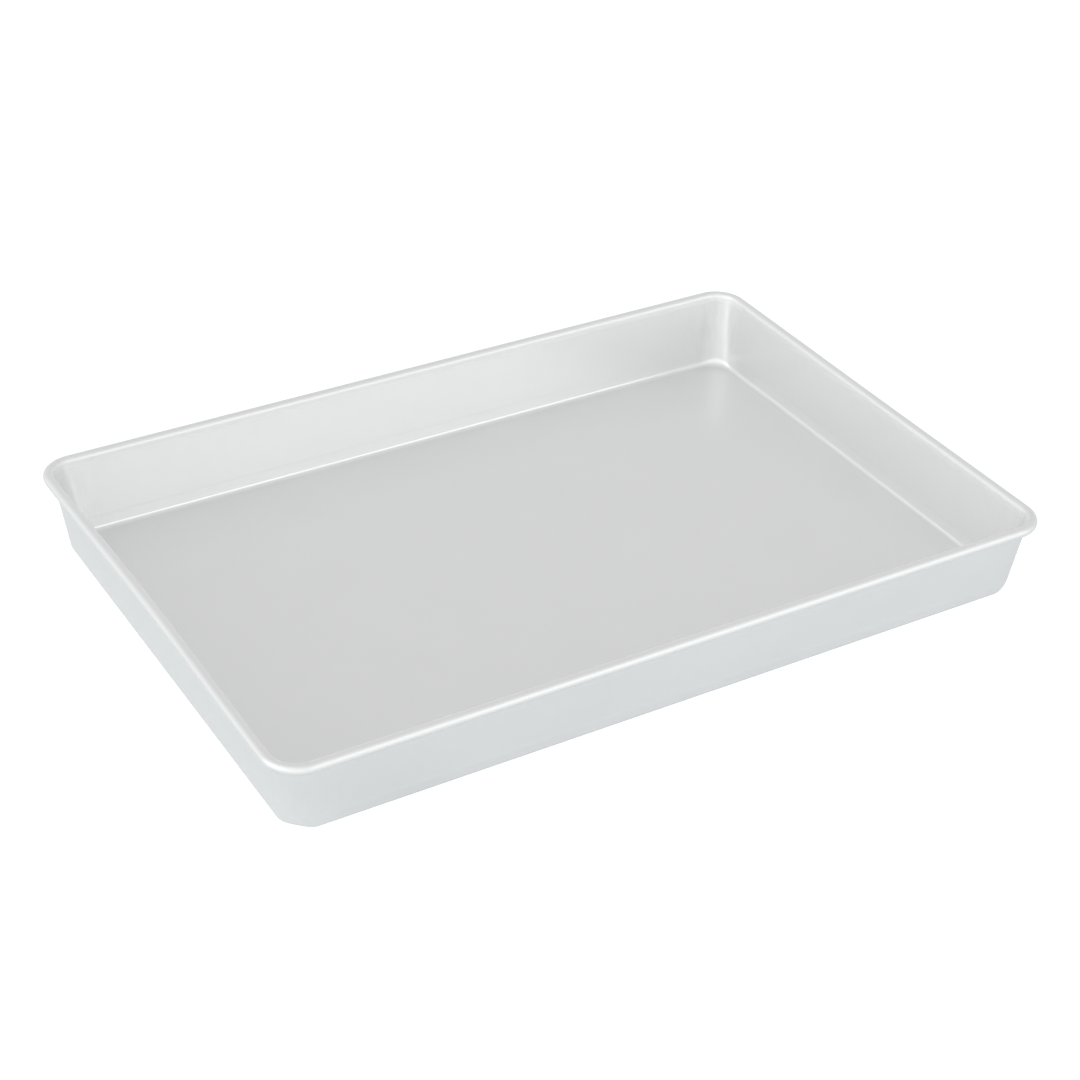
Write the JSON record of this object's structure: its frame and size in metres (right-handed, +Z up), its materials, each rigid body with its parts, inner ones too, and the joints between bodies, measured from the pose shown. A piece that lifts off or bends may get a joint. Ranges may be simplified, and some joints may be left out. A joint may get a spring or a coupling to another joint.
{
  "type": "rectangular cake pan",
  "caption": "Rectangular drawn aluminium cake pan with drafted walls, rounded corners and a rim rolled outward round a stiffening wire, for baking and holding sheet cakes.",
  "frame": {"origin": "underside of the floor, under the middle of the pan", "axes": "+X along the pan's long side, +Y across it towards the back, +Z up out of the pan's mouth"},
  "size_m": [0.468, 0.3184, 0.0482],
  "materials": {
    "satin_aluminium": "satin, clear anodised",
    "zinced_steel": "zinc-coated drawn wire"
  },
  "bodies": {
    "root": {"pan_shell": "satin_aluminium", "rim_wire": "zinced_steel"}
  },
  "joints": []
}
